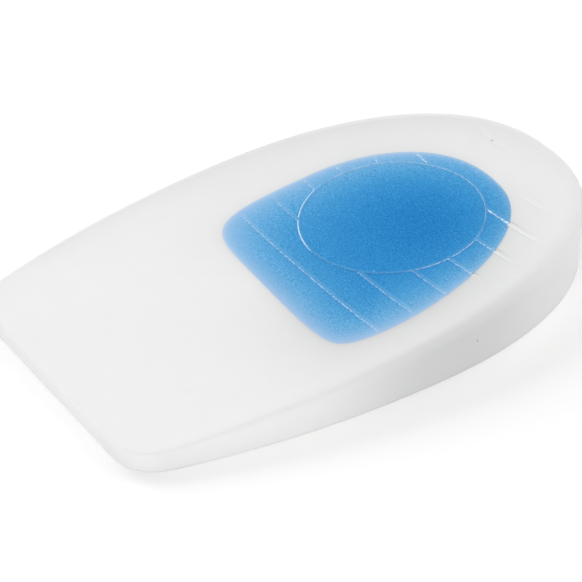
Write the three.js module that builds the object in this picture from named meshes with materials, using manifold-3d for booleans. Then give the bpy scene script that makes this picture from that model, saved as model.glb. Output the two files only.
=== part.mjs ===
// Silicone heel pad: a cupped wedge of firm silicone with a softer insert under the heel bone.
// Millimetres, +Z up. +Y points to the heel, the thin front edge is at -Y, the base lies on Z = 0.

import * as THREE from "three";
import { mergeVertices } from "three/addons/utils/BufferGeometryUtils.js";
import Module from "manifold-3d";

// Outline of the pad, seen from above
const LENGTH = 100;
const FRONT_WIDTH = 47.4;
const FULL_WIDTH = 60.4;
const WIDEST_Y = -0.4;
const SIDE_POWER = 2.14; // how the sides draw in towards the front
const HEEL_POWER = 2.27; // 2 gives an elliptical heel, more a squarer one
const FRONT_CORNER = 6; // length of each rounded front corner

// Rim and side wall
const FRONT_HEIGHT = 3;
const HEEL_HEIGHT = 13.2; // before the rim is rounded
const RISE_POWER = 1.12; // 1 is a straight wedge, more swells its middle
const RIM_ROUND = 0.21; // rim radius as a share of the height there
const WALL_LEAN = 0.03; // how far the wall leans in for each millimetre of height
const BASE_CHAMFER = 0.2;

// Cup in the top
const CUP_DEPTH = 2.6;
const FRONT_CUP_DEPTH = 0.2;
const CUP_Y = 25.2; // where the cup is deepest
const CUP_POWER = 2.34; // how late the cup rises towards the rim

// Soft insert and its recess
const INSERT_OUTLINE = [
  // x, y, heading in degrees, and the pull of the curve before and after each point
  { x: -7.0, y: -10.7, heading: -3.0, before: 9.8, after: 6.9 },
  { x: 14.5, y: -11.8, heading: 1.4, before: 3.5, after: 5.4 },
  { x: 22.3, y: -3.7, heading: 85.7, before: 7.7, after: 12.1 },
  { x: 4.2, y: 35.9, heading: 167.4, before: 13.4, after: 16.6 },
  { x: -18.3, y: 11.6, heading: 271.3, before: 13.5, after: 18.7 },
];
const INSERT_CENTRE = new THREE.Vector2(0, 16);
const INSERT_LIP = 0.8; // upright edge of the insert below the top
const INSERT_FLOOR_Z = 2.7;
const INSERT_FLOOR_SCALE = 0.78; // the insert narrows to its underside
const SEAM_GAP = 0.3;

// Raised relief: an oval ring and the cross ribs outside it
const RELIEF_HEIGHT = 0.2;
const RING_CENTRE = new THREE.Vector2(-1.2, 16.7);
const RING_RADIUS = new THREE.Vector2(14.4, 16.3);
const RING_WIDTH = 0.55;
const RIB_WIDTH = 0.9;
const RIBS = [
  { y: -3.6, left: -16.2, right: 21.6 },
  { y: 3.4, left: -17.4, right: 21.5 },
  { y: 10.5, left: -17.8, right: 21.3 },
  { y: 17.1, left: -17.5, right: 22.6 },
  { y: 23.9, left: -15.8, right: 23.2 },
  { y: 30.6, left: -12.2, right: 21.8 },
  { y: 37.2, left: 5.2, right: 17.2 },
  { y: 42.8, left: -11.8, right: -1.2 },
];

// Fineness of the faceted surfaces
const HALF_OUTLINE_STEPS = 48;
const SIDE_CURVE_POINTS = 24;
const RIM_STEPS = 4;
const TOP_RINGS = 8;
const INSERT_STEPS = 72;
const RING_SEGMENTS = 40;
const STRIP_END_SEGMENTS = 3;

const wasm = await Module();
wasm.setup();

const FRONT_Y = -LENGTH / 2;
const HEEL_Y = LENGTH / 2;
const ABOVE_TOP = HEEL_HEIGHT + 1; // where cutting solids end, clear of the pad
const TIP_HALF_WIDTH = 1; // least half width for the cup, which has none at the very back

function halfWidth(y) {
  const full = FULL_WIDTH / 2;
  if (y < WIDEST_Y) {
    const forward = (WIDEST_Y - y) / (WIDEST_Y - FRONT_Y);
    return full - (full - FRONT_WIDTH / 2) * forward ** SIDE_POWER;
  }
  const back = Math.min((y - WIDEST_Y) / (HEEL_Y - WIDEST_Y), 1);
  return full * (1 - back ** HEEL_POWER) ** (1 / HEEL_POWER);
}

function rimHeight(y) {
  const toHeel = THREE.MathUtils.clamp((HEEL_Y - y) / LENGTH, 0, 1);
  return FRONT_HEIGHT + (HEEL_HEIGHT - FRONT_HEIGHT) * (1 - toHeel ** RISE_POWER);
}

function cupDepth(y) {
  if (y < CUP_Y) {
    const forward = THREE.MathUtils.smoothstep(y, FRONT_Y, CUP_Y);
    return THREE.MathUtils.lerp(FRONT_CUP_DEPTH, CUP_DEPTH, forward);
  }
  const back = (y - CUP_Y) / (HEEL_Y - CUP_Y);
  return CUP_DEPTH * (1 - back ** 2);
}

function topHeight(x, y) {
  const across = Math.min(Math.abs(x) / Math.max(halfWidth(y), TIP_HALF_WIDTH), 1);
  return rimHeight(y) - cupDepth(y) * (1 - across ** CUP_POWER);
}

// Evenly spaced points round the pad, counterclockwise from the middle of the front edge
function padOutline() {
  const cornerEnd = FRONT_Y + FRONT_CORNER;
  const path = new THREE.Path();
  path.moveTo(0, FRONT_Y);
  path.lineTo(halfWidth(FRONT_Y) - FRONT_CORNER, FRONT_Y);
  path.quadraticCurveTo(halfWidth(FRONT_Y), FRONT_Y, halfWidth(cornerEnd), cornerEnd);
  const sidePoints = [];
  for (let step = 1; step <= SIDE_CURVE_POINTS; step += 1) {
    const y = THREE.MathUtils.lerp(cornerEnd, WIDEST_Y, step / SIDE_CURVE_POINTS);
    sidePoints.push(new THREE.Vector2(halfWidth(y), y));
  }
  for (let step = 1; step <= SIDE_CURVE_POINTS; step += 1) {
    const angle = (Math.PI / 2) * (step / SIDE_CURVE_POINTS);
    const x = (FULL_WIDTH / 2) * Math.cos(angle) ** (2 / HEEL_POWER);
    const y = WIDEST_Y + (HEEL_Y - WIDEST_Y) * Math.sin(angle) ** (2 / HEEL_POWER);
    sidePoints.push(new THREE.Vector2(step === SIDE_CURVE_POINTS ? 0 : x, y));
  }
  path.splineThru(sidePoints);
  const rightHalf = path.getSpacedPoints(HALF_OUTLINE_STEPS);
  const leftHalf = rightHalf.slice(1, -1).reverse().map((point) => new THREE.Vector2(-point.x, point.y));
  return [...rightHalf, ...leftHalf];
}

function insertOutline() {
  const path = new THREE.Path();
  const first = INSERT_OUTLINE[0];
  path.moveTo(first.x, first.y);
  INSERT_OUTLINE.forEach((from, index) => {
    const to = INSERT_OUTLINE[(index + 1) % INSERT_OUTLINE.length];
    const leave = THREE.MathUtils.degToRad(from.heading);
    const arrive = THREE.MathUtils.degToRad(to.heading);
    path.bezierCurveTo(
      from.x + from.after * Math.cos(leave),
      from.y + from.after * Math.sin(leave),
      to.x - to.before * Math.cos(arrive),
      to.y - to.before * Math.sin(arrive),
      to.x,
      to.y,
    );
  });
  return path.getSpacedPoints(INSERT_STEPS).slice(0, INSERT_STEPS);
}

// Moves each point of a counterclockwise outline outwards; a negative distance moves it inwards
function offsetOutline(outline, distanceAt) {
  return outline.map((point, index) => {
    const before = outline[(index + outline.length - 1) % outline.length];
    const after = outline[(index + 1) % outline.length];
    const outward = new THREE.Vector2(after.y - before.y, before.x - after.x).normalize();
    return point.clone().addScaledVector(outward, distanceAt(point));
  });
}

function ringAt(outline, heightAt) {
  return outline.map((point, index) => new THREE.Vector3(point.x, point.y, heightAt(point, index)));
}

// Closed skin over a stack of rings with equal numbers of points, with a fan over each end
function loft(rings, firstCap, lastCap) {
  const count = rings[0].length;
  const points = [firstCap, ...rings.flat(), lastCap];
  const at = (ring, step) => 1 + ring * count + (step % count);
  const triangles = [];
  for (let step = 0; step < count; step += 1) {
    triangles.push(0, at(0, step + 1), at(0, step));
    for (let ring = 0; ring + 1 < rings.length; ring += 1) {
      triangles.push(at(ring, step), at(ring, step + 1), at(ring + 1, step + 1));
      triangles.push(at(ring, step), at(ring + 1, step + 1), at(ring + 1, step));
    }
    triangles.push(points.length - 1, at(rings.length - 1, step), at(rings.length - 1, step + 1));
  }
  const geometry = new THREE.BufferGeometry().setFromPoints(points);
  geometry.setIndex(triangles);
  return geometry;
}

function solidFrom(geometry) {
  geometry.deleteAttribute("normal");
  geometry.deleteAttribute("uv");
  const merged = mergeVertices(geometry);
  return new wasm.Manifold(
    new wasm.Mesh({
      numProp: 3,
      vertProperties: new Float32Array(merged.attributes.position.array),
      triVerts: new Uint32Array(merged.index.array),
    }),
  );
}

function geometryFrom(solid) {
  const mesh = solid.getMesh();
  const geometry = new THREE.BufferGeometry();
  geometry.setAttribute("position", new THREE.BufferAttribute(mesh.vertProperties, mesh.numProp));
  geometry.setIndex(new THREE.BufferAttribute(mesh.triVerts, 1));
  geometry.computeVertexNormals();
  return geometry;
}

// The whole wedge before the recess is cut, with its top raised by lift
function wedge(lift) {
  const outline = padOutline();
  const rings = [
    ringAt(offsetOutline(outline, () => -BASE_CHAMFER), () => 0),
    ringAt(outline, () => BASE_CHAMFER),
  ];
  const radiusAt = (point) => RIM_ROUND * rimHeight(point.y);
  const leanAt = (point) => WALL_LEAN * rimHeight(point.y);
  let rim = outline;
  for (let step = 0; step <= RIM_STEPS; step += 1) {
    const turn = (Math.PI / 2) * (step / RIM_STEPS);
    const inset = 1 - Math.cos(turn);
    const drop = 1 - Math.sin(turn);
    rim = offsetOutline(outline, (point) => -leanAt(point) - radiusAt(point) * inset);
    rings.push(ringAt(rim, (point) => topHeight(point.x, point.y) - radiusAt(point) * drop + lift));
  }
  const centre = new THREE.Vector2(0, INSERT_CENTRE.y);
  for (let ring = 1; ring < TOP_RINGS; ring += 1) {
    const shrunk = rim.map((point) => point.clone().lerp(centre, ring / TOP_RINGS));
    rings.push(ringAt(shrunk, (point) => topHeight(point.x, point.y) + lift));
  }
  const topCentre = new THREE.Vector3(centre.x, centre.y, topHeight(centre.x, centre.y) + lift);
  return solidFrom(loft(rings, new THREE.Vector3(centre.x, centre.y, 0), topCentre));
}

// The room of the insert: upright at its lip, then narrowing to a flat floor; grow widens it all round
function insertRoom(grow) {
  const outline = insertOutline();
  const border = offsetOutline(outline, () => grow);
  const narrowed = outline.map((point) => INSERT_CENTRE.clone().lerp(point, INSERT_FLOOR_SCALE));
  const floor = offsetOutline(narrowed, () => grow);
  const floorZ = INSERT_FLOOR_Z - grow;
  const lipAt = (point, index) => topHeight(outline[index].x, outline[index].y) - INSERT_LIP - grow;
  const rings = [ringAt(floor, () => floorZ), ringAt(border, lipAt), ringAt(border, () => ABOVE_TOP)];
  const centreAt = (z) => new THREE.Vector3(INSERT_CENTRE.x, INSERT_CENTRE.y, z);
  return solidFrom(loft(rings, centreAt(floorZ), centreAt(ABOVE_TOP)));
}

// An upright prism from inside the floor of the pad to above its heel
function prism(shape, curveSegments) {
  const bottom = FRONT_HEIGHT / 2;
  const depth = ABOVE_TOP - bottom;
  const geometry = new THREE.ExtrudeGeometry(shape, { depth, curveSegments, bevelEnabled: false });
  geometry.translate(0, 0, bottom);
  return solidFrom(geometry);
}

function ovalShape(margin) {
  const shape = new THREE.Shape();
  const { x, y } = RING_CENTRE;
  shape.absellipse(x, y, RING_RADIUS.x + margin, RING_RADIUS.y + margin, 0, 2 * Math.PI);
  return shape;
}

function ribShape({ y, left, right }) {
  const radius = RIB_WIDTH / 2;
  const shape = new THREE.Shape();
  shape.absarc(right - radius, y, radius, -Math.PI / 2, Math.PI / 2);
  shape.absarc(left + radius, y, radius, Math.PI / 2, (3 * Math.PI) / 2);
  return shape;
}

// Ribs and ring as upright prisms; the ribs stop at the ring
function reliefPrisms() {
  const ringOutside = prism(ovalShape(RING_WIDTH / 2), RING_SEGMENTS);
  const ringInside = prism(ovalShape(-RING_WIDTH / 2), RING_SEGMENTS);
  const ribs = RIBS.map((rib) => prism(ribShape(rib), STRIP_END_SEGMENTS));
  const all = ribs.reduce((joined, rib) => joined.add(rib), ringOutside);
  return all.subtract(ringInside);
}

const relief = wedge(RELIEF_HEIGHT).intersect(reliefPrisms());
const blank = wedge(0).add(relief);

const whiteSilicone = new THREE.MeshStandardMaterial({ color: 0xeeeeec, roughness: 0.5, metalness: 0 });
const blueSilicone = new THREE.MeshStandardMaterial({ color: 0x2f87c9, roughness: 0.4, metalness: 0 });

const padBody = new THREE.Mesh(geometryFrom(blank.subtract(insertRoom(SEAM_GAP))), whiteSilicone);
padBody.name = "pad_body";

const softInsert = new THREE.Mesh(geometryFrom(blank.intersect(insertRoom(0))), blueSilicone);
softInsert.name = "soft_insert";

const heelPad = new THREE.Group();
heelPad.name = "heel_pad";
heelPad.add(padBody, softInsert);

export default heelPad;
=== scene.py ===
# Silicone heel pad: a cupped white wedge with a soft blue insert, on a pale studio floor.
# Metres, +Z up. +Y points to the heel, the thin front edge is at -Y, the base lies on Z = 0.

import math
from collections import namedtuple

import bpy
import numpy as np
from bpy.props import FloatProperty, FloatVectorProperty, PointerProperty
from mathutils import Matrix, Vector


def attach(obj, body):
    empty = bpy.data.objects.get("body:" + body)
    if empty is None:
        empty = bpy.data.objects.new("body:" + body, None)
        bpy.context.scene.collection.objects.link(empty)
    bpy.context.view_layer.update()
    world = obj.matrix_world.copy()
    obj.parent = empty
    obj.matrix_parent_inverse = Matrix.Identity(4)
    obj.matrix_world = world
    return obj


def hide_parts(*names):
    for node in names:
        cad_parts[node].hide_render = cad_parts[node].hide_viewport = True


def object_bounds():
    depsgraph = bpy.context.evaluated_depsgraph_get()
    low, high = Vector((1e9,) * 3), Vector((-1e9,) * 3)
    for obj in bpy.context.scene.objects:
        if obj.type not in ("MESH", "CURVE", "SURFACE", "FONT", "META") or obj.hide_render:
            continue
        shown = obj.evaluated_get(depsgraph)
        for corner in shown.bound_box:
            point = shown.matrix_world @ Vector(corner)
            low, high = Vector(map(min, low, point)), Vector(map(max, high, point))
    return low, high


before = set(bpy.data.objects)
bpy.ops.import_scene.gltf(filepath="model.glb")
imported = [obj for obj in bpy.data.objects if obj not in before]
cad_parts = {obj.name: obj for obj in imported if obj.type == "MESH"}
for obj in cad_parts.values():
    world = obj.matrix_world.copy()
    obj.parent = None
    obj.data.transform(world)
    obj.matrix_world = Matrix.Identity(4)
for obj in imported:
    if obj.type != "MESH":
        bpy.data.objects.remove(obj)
CAD_LOW, CAD_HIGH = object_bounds()

bl_info = {
    "name": "Silicone Heel Pad",
    "version": (1, 0, 0),
    "blender": (4, 5, 0),
    "location": "View3D > Sidebar > Heel Pad",
    "description": "Builds a cupped silicone heel pad with a soft insert, and a stage for it",
    "category": "Add Mesh",
}

MM = 0.001
BODY = "root"

# Names of the values that the pieces carry for their materials
GEL_DEPTH = "gel_depth"
SEAM_DISTANCE = "seam_distance"
# painted shade that the white and the blue silicone take in their colour
PAINTED_SHADE = "insert_shade"
ACROSS = "across"
FROM_END = "from_end"
RISE = "rise"
# strength of the painted highlight along an edge of the relief
GLINT = "glint"
SHOWN = "shown"
PATCHY = "patchy"
CARRIED = (GEL_DEPTH, SEAM_DISTANCE, PAINTED_SHADE)  # what the relief takes over from the piece under it

# Insert outline seen from above, counterclockwise: places in millimetres, headings in degrees,
# and the pull of the curve before and after each point
OutlinePoint = namedtuple("OutlinePoint", "x y heading before after")
INSERT_OUTLINE = (
    OutlinePoint(x=-7.0, y=-10.7, heading=-3.0, before=9.8, after=6.9),
    OutlinePoint(x=14.5, y=-11.8, heading=1.4, before=3.5, after=5.4),
    OutlinePoint(x=22.3, y=-3.7, heading=85.7, before=7.7, after=12.1),
    OutlinePoint(x=4.2, y=35.9, heading=167.4, before=13.4, after=16.6),
    OutlinePoint(x=-18.3, y=11.6, heading=271.3, before=13.5, after=18.7),
)

# Cross ribs in millimetres; rise is the share of the full height, glint the painted highlight on the front
# edge
Rib = namedtuple("Rib", "y left right rise glint")
RIBS = (
    Rib(y=-3.6, left=-16.2, right=21.6, rise=1.0, glint=0.85),
    Rib(y=3.4, left=-17.4, right=21.5, rise=1.0, glint=0.65),
    Rib(y=10.5, left=-17.8, right=21.3, rise=1.0, glint=0.65),
    Rib(y=17.1, left=-17.5, right=22.6, rise=1.0, glint=0.9),
    Rib(y=23.9, left=-15.8, right=23.2, rise=0.9, glint=0.9),
    Rib(y=30.6, left=-12.2, right=21.8, rise=0.9, glint=1.7),
    Rib(y=37.2, left=5.2, right=17.2, rise=0.3, glint=0.0),
    Rib(y=42.8, left=-11.8, right=-1.2, rise=0.3, glint=0.0),
)

# Stretches where a painted highlight lies on the outer edge of the ring: direction from its middle in
# degrees, and the cosine of the angle to that direction where the highlight starts and where it is full
Glint = namedtuple("Glint", "direction start full strength")
RING_GLINTS = (
    Glint(direction=232.0, start=0.72, full=0.92, strength=3.2),
    Glint(direction=5.0, start=0.70, full=0.95, strength=1.7),
)
# where neither stretch lies, a faint painted highlight lies on the inner edge
INNER_RING_GLINT = 0.65  # elsewhere the inner edge shines a little

# Tiny specks in the white silicone, in millimetres
Speck = namedtuple("Speck", "x y z radius")
SPECKS = (
    Speck(x=-6.7, y=42.5, z=11.5, radius=0.35),
    Speck(x=29.6, y=9.9, z=5.0, radius=0.3),
)

# Softboxes: places and sizes in metres, power in watts
Softbox = namedtuple("Softbox", "name x y z size power")
SOFTBOXES = (
    Softbox(name="left_softbox", x=-0.69, y=0.0, z=0.40, size=0.6, power=3.4),
    Softbox(name="front_softbox", x=0.46, y=-0.52, z=0.40, size=0.6, power=3.5),
    Softbox(name="back_softbox", x=0.0, y=0.69, z=0.40, size=0.6, power=2.4),
)

# The softboxes don't reach the far floor, so it gives off light of its own; distances in metres
FLOOR_REACH = 4.0
FAR_FLOOR_START = 0.5
FAR_FLOOR_FULL = 1.2
FAR_FLOOR_LIGHT = 0.6

# Painted shade: the insert swallows light, so the white top beside it is painted greyer, most of all on
# the right, where the white strip is narrow
TOP_SHADE = 0.045
TOP_SHADE_REACH = 10 * MM
SEAM_SHADE = 0.06
SEAM_SHADE_REACH = 1 * MM
NARROW_SHADE = 0.175
NARROW_SIDE_X = 15 * MM
NARROW_SIDE_REACH = 32 * MM

# Painted shade on the wall beside the insert too, a little more towards the rim
WALL_SHADE = 0.235
WALL_SHADE_Y = 5 * MM
WALL_SHADE_REACH = 19.5 * MM
WALL_SHADE_POWER = 2.5
UPPER_WALL_SHADE = 0.15  # share that is added at the rim

# Painted shade makes the front edge and its corners a little greyer
FRONT_SHADE = 0.03
FRONT_SHADE_START = -25 * MM
FRONT_SHADE_FULL = -45 * MM
CORNER_SHADE = 0.065
CORNER_SHADE_REACH = 6 * MM

# Painted shade makes the raised rim a little greyer, except at the front, and less on the narrow side
RIM_SHADE = 0.09
RIM_SHADE_REACH = 3 * MM
RIM_SHADE_START = -52 * MM
RIM_SHADE_FULL = -35 * MM
NARROW_RIM_SHADE = 0.03
NARROW_RIM_REACH = 0.6 * MM

# Sides of the insert: direction from its centre in degrees, and the cosine of the angle to that
# direction where the side starts and where it is full
Side = namedtuple("Side", "direction start full")
FRONT_SIDE = Side(direction=-85.0, start=0.75, full=0.95)
CORNER_SIDE = Side(direction=-65.0, start=0.7, full=0.95)
DARK_SIDE = Side(direction=-10.0, start=-0.3, full=0.1)

# On its dark side the insert's seam blends less with the white, and its gel takes painted shade
SEAM_SHIFT = 0.32 * MM
GEL_SHADE = 0.06
GEL_SHADE_REACH = 8 * MM

# Both silicones
SILICONE_IOR = 1.41
FINE_DETAIL = 3.0
GRAIN_HEIGHT = 0.05 * MM

# White silicone: clouds, grain and the depth to which light spreads
CLOUD_SIZE = 9 * MM
SMALL_CLOUD_SIZE = 2 * MM
SMALL_CLOUD_SHARE = 0.4
CLOUD_RANGE = (0.35, 0.65)  # noise where the clouds start and where they are full
WHITE_GRAIN_SIZE = 0.35 * MM
WHITE_BUMP = 0.08
WHITE_ROUGHNESS = 0.45
WHITE_ROUGHNESS_GRAIN = 0.12
WEDGE_SCATTERING = 0.15  # share of the light that spreads below the surface
SCATTERING_DEPTH = 2 * MM
SPECK_DARKNESS = 0.35
SPECK_CORE = 0.3  # share of a speck's radius that is fully dark

# Blue silicone: grain that grows with the depth, and a border that blends with the white
BLUE_GRAIN_SIZE = 0.25 * MM
BLUE_BUMP = 0.1
BLUE_ROUGHNESS = 0.35
BLUE_ROUGHNESS_GRAIN = 0.15
GRAIN_DEPTHS = (0.3, 2.5)  # millimetres of gel where the grain starts and where it is full
GRAIN_IN_DEPTH = 2.4
GRAIN_IN_LIGHT = 0.8
SEAM_BLEND = 0.4
SEAM_BLEND_REACH = 0.38 * MM

# Bubbles in the gel: spacing and radius in millimetres, and the share of places that hold one
Bubbles = namedtuple("Bubbles", "spacing radius share strength")
BUBBLES = (
    Bubbles(spacing=0.7, radius=0.14, share=0.35, strength=0.12),
    Bubbles(spacing=1.5, radius=0.16, share=0.3, strength=0.1),
    Bubbles(spacing=4.0, radius=0.2, share=0.25, strength=0.35),
)

# Painted light, shade and highlights across a rib or the ring, from about -1 at the heel or inner side
# to 1 at the front or outer side: where each one starts and where it is full
WHITE_TOP = (-0.2, 0.4)
WHITE_FRONT_EDGE = (0.55, 0.75)
WHITE_HEEL_EDGE = (-0.3, -0.6)
BLUE_TOP = (-0.8, 0.8)
BLUE_HEEL_EDGE = (-0.4, -0.7)
OUTER_GLINT = (0.8, 0.95)
INNER_GLINT = (-0.35, -0.65)

# Strength of that painted light, shade and highlight, and how far the seam changes them
WHITE_TOP_LIGHT = 0.2
WHITE_EDGE_LIGHT = 0.14
WHITE_HEEL_SHADE = 0.35
WHITE_SEAM_REACH = 2 * MM
BLUE_LIGHT = 0.03
BLUE_TOP_LIGHT = 0.05
BLUE_HEEL_LIGHT = 0.09
GLINT_LIGHT = 0.7
GLINT_SPREAD = 0.25
SEAM_GLINT_SPREAD = 1.5
SEAM_GLINT_REACH = 1.5 * MM

# The painted highlight of the relief fades between patches, by these shares on the ribs and on the ring
RIB_PATCHES = 0.85
RING_PATCHES = 0.65
PATCH_SIZE = 0.5 * MM
PATCH_RANGE = (0.4, 0.58)  # noise where a patch starts and where it is full

# Curves of the form
CORNER_PULL = 2 / 3  # pull of the front corners towards their sharp points
HEEL_LIP_POWER = 1.5

# Fineness of the meshes
OUTLINE_STEPS = 576
CURVE_SAMPLES = 400
BASE_STEPS = 4
WALL_RINGS = 8
RIM_STEPS = 12
TOP_RINGS = 30
INSERT_RINGS = 44
BORDER_CROWDING = 1.6  # above 1 the rings of the insert lie closer together at its border
RING_STEPS = 360
EDGE_STEPS = 3
SHARP_ANGLE = math.radians(40)
RAY_HEIGHT = 1.0  # metres above the floor where the rays onto a piece start


def length_property(name, description, millimetres):
    length = millimetres * MM
    return FloatProperty(name=name, description=description, default=length, unit="LENGTH", precision=5)


def angle_property(name, description, degrees):
    return FloatProperty(name=name, description=description, default=math.radians(degrees), subtype="ANGLE")


def number_property(name, description, default):
    return FloatProperty(name=name, description=description, default=default, min=0.0, precision=3)


def colour_property(name, description, default):
    return FloatVectorProperty(
        name=name, description=description, default=default, size=3, min=0.0, max=1.0, subtype="COLOR"
    )


class PadShape(bpy.types.PropertyGroup):
    """Sizes of the wedge and of its cup"""

    length: length_property("Length", "From the front edge to the heel", (CAD_HIGH.y - CAD_LOW.y) / MM)
    full_width: length_property("Full Width", "Greatest width", (CAD_HIGH.x - CAD_LOW.x) / MM)
    front_width: length_property("Front Width", "Width of the front edge, corners included", 47.4)
    front_corner: length_property("Front Corner", "Length of each rounded front corner", 6.0)
    widest_y: length_property("Widest Place", "Where the pad is widest", -0.4)
    side_power: number_property("Side Power", "How late the sides draw in towards the front", 2.14)
    heel_power: number_property("Heel Power", "2 is an elliptical heel, more a squarer one", 2.27)
    front_height: length_property("Front Height", "Height of the front edge", 3.0)
    heel_height: length_property("Heel Height", "Height of the heel before its rim is rounded", 13.2)
    rise_power: number_property("Rise Power", "1 is a straight wedge, more swells its middle", 1.12)
    rim_round: number_property("Rim Round", "Rim radius as a share of the height there", 0.21)
    wall_lean: number_property("Wall Lean", "How far the wall leans in for each unit of height", 0.03)
    base_round: length_property("Base Round", "Radius of the edge that meets the floor", 0.2)
    cup_depth: length_property("Cup Depth", "Greatest depth of the cup", 2.6)
    front_cup_depth: length_property("Front Cup Depth", "Depth of the cup at the front edge", 0.2)
    cup_y: length_property("Cup Place", "Where the cup is deepest", 25.2)
    cup_power: number_property("Cup Power", "How late the cup rises towards the rim", 2.34)


class InsertShape(bpy.types.PropertyGroup):
    """Sizes of the soft insert below its outline"""

    centre_x: length_property("Centre X", "Deepest place of the insert across the pad", 3.3)
    centre_y: length_property("Centre Y", "Deepest place of the insert along the pad", 13.8)
    lip: length_property("Lip", "Upright edge below the top, away from the corner and the heel", 0.7)
    corner_lip: length_property("Corner Lip", "How much shallower the edge is at the right front", 0.2)
    heel_lip: length_property("Heel Lip", "How much deeper the edge is at the heel end", 1.4)
    heel_turn: angle_property("Heel Turn", "Turn to the right of the way in which the edge deepens", 30.0)
    heel_start: length_property("Heel Start", "How far that way the edge begins to deepen", 18.0)
    heel_end: length_property("Heel End", "How far that way the edge is deepest", 33.0)
    floor: length_property("Floor", "Lowest place of the underside", 2.7)
    bowl_power: number_property("Bowl Power", "2 is a round underside, more a flatter one", 2.35)
    front_power: number_property("Front Power", "Added to the bowl power behind the front edge", 1.6)
    seam_gap: length_property("Seam Gap", "Room between the hidden walls of insert and recess", 0.1)


class ReliefShape(bpy.types.PropertyGroup):
    """Sizes of the moulded ring and ribs"""

    ring_x: length_property("Ring X", "Middle of the ring across the pad", -1.2)
    ring_y: length_property("Ring Y", "Middle of the ring along the pad", 16.7)
    ring_radius_x: length_property("Ring Radius X", "Half the width of the ring", 14.4)
    ring_radius_y: length_property("Ring Radius Y", "Half the length of the ring", 16.3)
    ring_width: length_property("Ring Width", "Width of the raised line of the ring", 0.55)
    rib_width: length_property("Rib Width", "Width of a raised rib", 0.9)
    height: length_property("Height", "How far ring and ribs stand up", 0.14)
    edge: length_property("Edge", "Radius of their upper edges", 0.12)
    taper: length_property("Taper", "Length over which a rib on the insert runs out", 0.9)
    heel_rib_width: length_property("Heel Rib Width", "Width of a raised rib on the white rim", 1.3)
    heel_edge: length_property("Heel Edge", "Radius of the upper edges of a rib on the white rim", 0.136)
    heel_taper: length_property("Heel Taper", "Length over which a rib on the white rim runs out", 6.0)
    step: length_property("Step", "Spacing of the points along a rib", 0.2)


class SiliconeLooks(bpy.types.PropertyGroup):
    """Colours of the two silicones"""

    white: colour_property("White", "Firm silicone", (0.81, 0.81, 0.81))
    white_shade: colour_property("White Shade", "Cloudy patches in the firm silicone", (0.80, 0.80, 0.80))
    # the colour that the painted shade and the dark specks mix in
    shade: colour_property("Shade", "Grey of the firm silicone close to the insert", (0.10, 0.11, 0.12))
    pale_blue: colour_property("Pale Blue", "Soft silicone where it is thinnest", (0.542, 0.60, 0.81))
    absorption: FloatVectorProperty(
        name="Absorption", description="How fast red, green and blue fade for each millimetre of depth",
        default=(0.708, 0.213, 0.086), size=3, min=0.0,
    )
    # the colour of the real bubbles, and of the painted highlights on the relief's edges
    bubble: colour_property("Bubble", "Bubbles and shining edges of the soft silicone", (0.62, 0.78, 0.92))


class StageLooks(bpy.types.PropertyGroup):
    """Camera, floor and light"""

    azimuth: angle_property("Azimuth", "Turn of the camera round the pad", 52.081)
    elevation: angle_property("Elevation", "Height angle of the camera", 36.638)
    roll: angle_property("Roll", "Tilt of the camera about its view", 3.955)
    distance: length_property("Distance", "From the camera to the point it looks at", 339.58)
    aim: FloatVectorProperty(
        name="Aim", description="Point that the camera looks at",
        default=(-1.489 * MM, -3.475 * MM, 0.0), size=3, subtype="TRANSLATION", unit="LENGTH",
    )
    lens: FloatProperty(
        name="Lens", description="Focal length in millimetres", default=127.65, unit="CAMERA"
    )
    floor_colour: colour_property("Floor", "Colour of the floor", (0.98, 0.98, 0.975))
    world_strength: number_property("Surrounding Light", "Strength of the even light all round", 0.45)


class HeelPadSettings(bpy.types.PropertyGroup):
    """All that a user would change"""

    pad: PointerProperty(type=PadShape)
    insert: PointerProperty(type=InsertShape)
    relief: PointerProperty(type=ReliefShape)
    looks: PointerProperty(type=SiliconeLooks)
    stage: PointerProperty(type=StageLooks)


# The form of the pad


def ramp(value, start, full):
    """0 up to the start, 1 from where it is full, and an even rise between."""
    return np.clip((value - start) / (full - start), 0, 1)


def half_width(pad, y):
    full = pad.full_width / 2
    forward = np.maximum(pad.widest_y - y, 0) / (pad.widest_y + pad.length / 2)
    back = ramp(y, pad.widest_y, pad.length / 2)
    heel = full * (1 - back**pad.heel_power) ** (1 / pad.heel_power)
    return heel - (full - pad.front_width / 2) * forward**pad.side_power


def rim_height(pad, y):
    from_heel = ramp(y, pad.length / 2, -pad.length / 2)
    return pad.front_height + (pad.heel_height - pad.front_height) * (1 - from_heel**pad.rise_power)


def cup_depth(pad, y):
    rise = ramp(y, -pad.length / 2, pad.cup_y)
    front_part = pad.front_cup_depth + (pad.cup_depth - pad.front_cup_depth) * rise**2 * (3 - 2 * rise)
    back = np.maximum(y - pad.cup_y, 0) / (pad.length / 2 - pad.cup_y)
    return front_part * (1 - back**2)


def top_height(pad, points):
    x, y = points[:, 0], points[:, 1]
    across = np.minimum(np.abs(x) / np.maximum(half_width(pad, y), MM), 1)
    return rim_height(pad, y) - cup_depth(pad, y) * (1 - across**pad.cup_power)


def evenly_spaced(points, count):
    """Points at equal steps along a line of points, both ends included."""
    travelled = np.concatenate(([0], np.cumsum(np.linalg.norm(np.diff(points, axis=0), axis=1))))
    at = np.linspace(0, travelled[-1], count)
    return np.column_stack([np.interp(at, travelled, points[:, axis]) for axis in (0, 1)])


def bezier(start, start_handle, end_handle, end):
    t = np.linspace(0, 1, CURVE_SAMPLES)[:, None]
    s = 1 - t
    return s**3 * start + 3 * s**2 * t * start_handle + 3 * s * t**2 * end_handle + t**3 * end


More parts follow.
